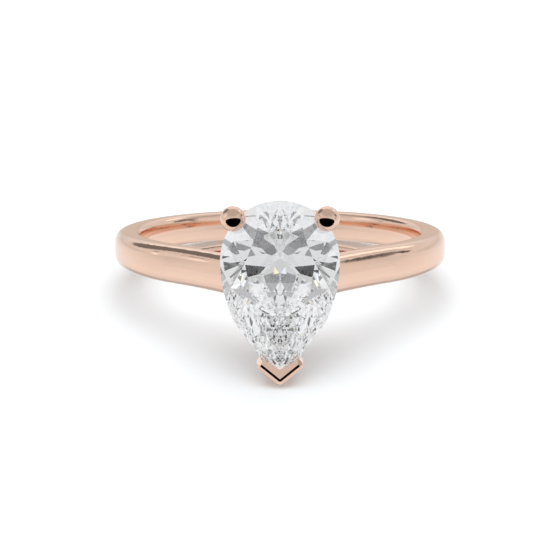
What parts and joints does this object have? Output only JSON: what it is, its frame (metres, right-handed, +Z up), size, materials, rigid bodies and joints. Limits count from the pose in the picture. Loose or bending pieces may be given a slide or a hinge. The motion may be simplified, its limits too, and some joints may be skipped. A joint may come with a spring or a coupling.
{
  "type": "engagement ring",
  "caption": "Solitaire engagement ring lying on its side: tapering band, rising shoulders, open basket, round claws, V claw and a pear-cut stone.",
  "frame": {"origin": "centre of the bounding box's underside, on the surface the ring lies on", "axes": "+Z up from that surface, -Y towards the head, +X to the right when facing the stone's table; the finger's axis lies in the YZ plane, 11.702 degrees from +Z towards +Y"},
  "size_m": [0.0194, 0.0238, 0.0095],
  "materials": {
    "rose_gold": "polished",
    "diamond": "polished facets"
  },
  "bodies": {
    "root": {"shank": "rose_gold", "left_shoulder": "rose_gold", "right_shoulder": "rose_gold", "bridge": "rose_gold", "lower_gallery": "rose_gold", "upper_gallery": "rose_gold", "left_claw": "rose_gold", "right_claw": "rose_gold", "v_claw": "rose_gold", "center_stone": "diamond"}
  },
  "joints": []
}
